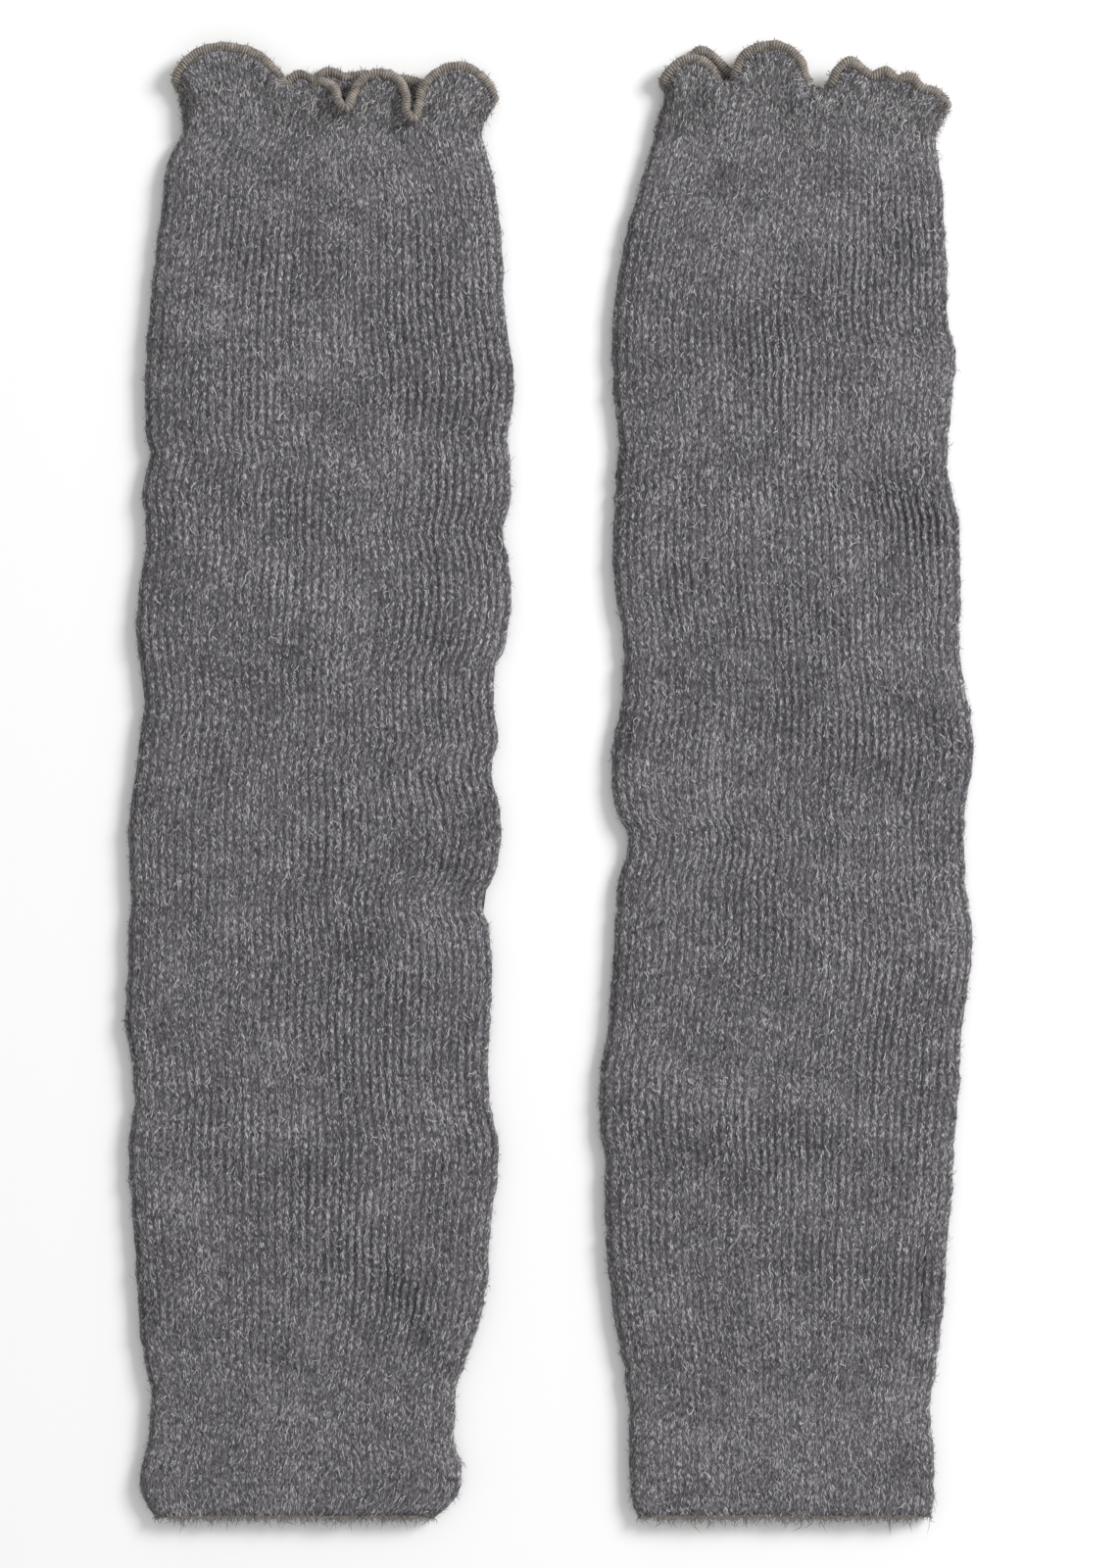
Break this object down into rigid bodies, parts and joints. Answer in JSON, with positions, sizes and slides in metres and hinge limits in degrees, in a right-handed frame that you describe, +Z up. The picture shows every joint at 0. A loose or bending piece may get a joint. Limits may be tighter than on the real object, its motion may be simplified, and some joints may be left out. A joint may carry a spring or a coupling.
{
  "type": "pair of leg warmers",
  "caption": "Pair of rib-knit leg warmers laid flat side by side: collapsed tubes with plain raw hems and wavy lettuce-edged tops.",
  "frame": {"origin": "on the surface under the middle of the pair's bounding box", "axes": "+X across the pair to the right, +Y along the legs towards the ruffled ends, +Z up off the surface"},
  "size_m": [0.2672, 0.4652, 0.0113],
  "materials": {
    "knit": "brushed heather grey rib knit, matt with a fuzzy nap",
    "edging": "matt warm grey overlock thread"
  },
  "bodies": {
    "root": {"left_tube": "knit", "left_edging": "edging", "right_tube": "knit", "right_edging": "edging"}
  },
  "joints": []
}
